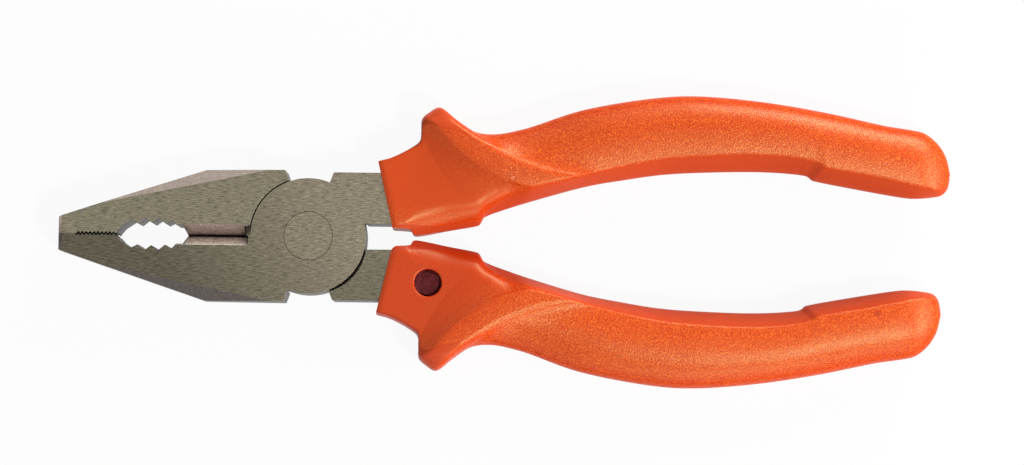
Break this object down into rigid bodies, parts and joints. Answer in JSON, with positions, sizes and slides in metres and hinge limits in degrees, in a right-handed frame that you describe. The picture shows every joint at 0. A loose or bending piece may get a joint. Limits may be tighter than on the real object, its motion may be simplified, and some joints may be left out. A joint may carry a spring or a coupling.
{
  "type": "combination pliers",
  "caption": "Combination pliers with serrated jaws, a pipe grip and side cutters, joined by a flush lap-joint rivet, with moulded plastic sleeves on the handles.",
  "frame": {"origin": "centre of the rivet's flush end on the back face of the head, on the pivot axis", "axes": "+X along the tool from the jaws to the handles, +Y towards the upper handle, +Z along the pivot axis out of the front face"},
  "size_m": [0.1801, 0.0594, 0.0154],
  "materials": {
    "steel": "forged and ground, brushed along the jaws",
    "rivet_steel": "ground flush with the head",
    "grip_plastic": "moulded, fine grain, satin"
  },
  "bodies": {
    "rear_lever": {"rear_half": "steel", "pivot_rivet": "rivet_steel", "lower_grip": "grip_plastic"},
    "front_lever": {"front_half": "steel", "upper_grip": "grip_plastic"}
  },
  "joints": [
    {"name": "jaw_pivot", "type": "hinge", "parent": "rear_lever", "child": "front_lever", "pos_m": [0, 0, 0.005], "axis": [0, 0, 1], "range_deg": [0, 40]}
  ]
}
